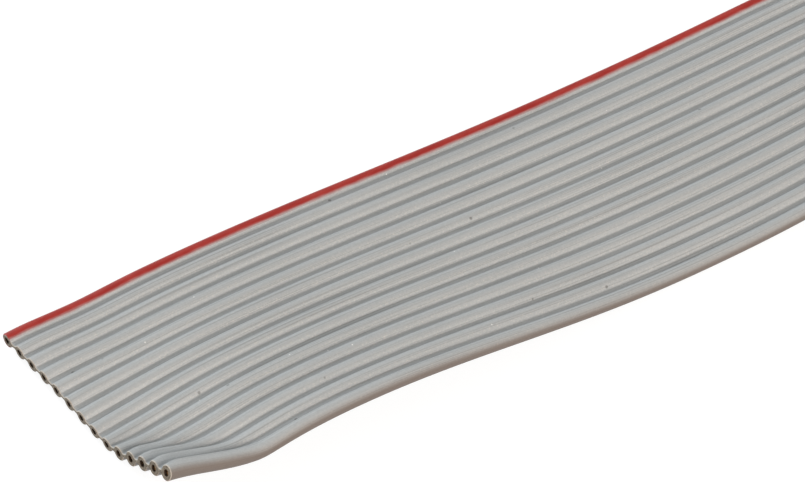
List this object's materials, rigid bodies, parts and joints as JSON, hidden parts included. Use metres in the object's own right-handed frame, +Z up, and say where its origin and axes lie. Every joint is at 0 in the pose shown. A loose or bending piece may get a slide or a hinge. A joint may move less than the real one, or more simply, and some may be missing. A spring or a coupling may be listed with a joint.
{
  "type": "ribbon cable",
  "caption": "Length of grey ribbed flat cable with a red-marked edge core and stranded copper conductors, cut square at both ends, lying in low waves with one corner bent up.",
  "frame": {"origin": "middle of the cable's length and width, on the surface that it lies on", "axes": "+X along the cable away from the cut end with the bent corner, +Y across it towards the red-marked edge core, +Z up from the surface that it lies on"},
  "size_m": [0.12, 0.0174, 0.0037],
  "materials": {
    "grey_insulation": "satin extruded grey PVC",
    "red_marking": "satin red marking skin",
    "copper": "bare copper strands"
  },
  "bodies": {
    "root": {"insulation": "grey_insulation", "red_stripe": "red_marking", "conductor_01": "copper", "conductor_02": "copper", "conductor_03": "copper", "conductor_04": "copper", "conductor_05": "copper", "conductor_06": "copper", "conductor_07": "copper", "conductor_08": "copper", "conductor_09": "copper", "conductor_10": "copper", "conductor_11": "copper", "conductor_12": "copper", "conductor_13": "copper", "conductor_14": "copper"}
  },
  "joints": []
}
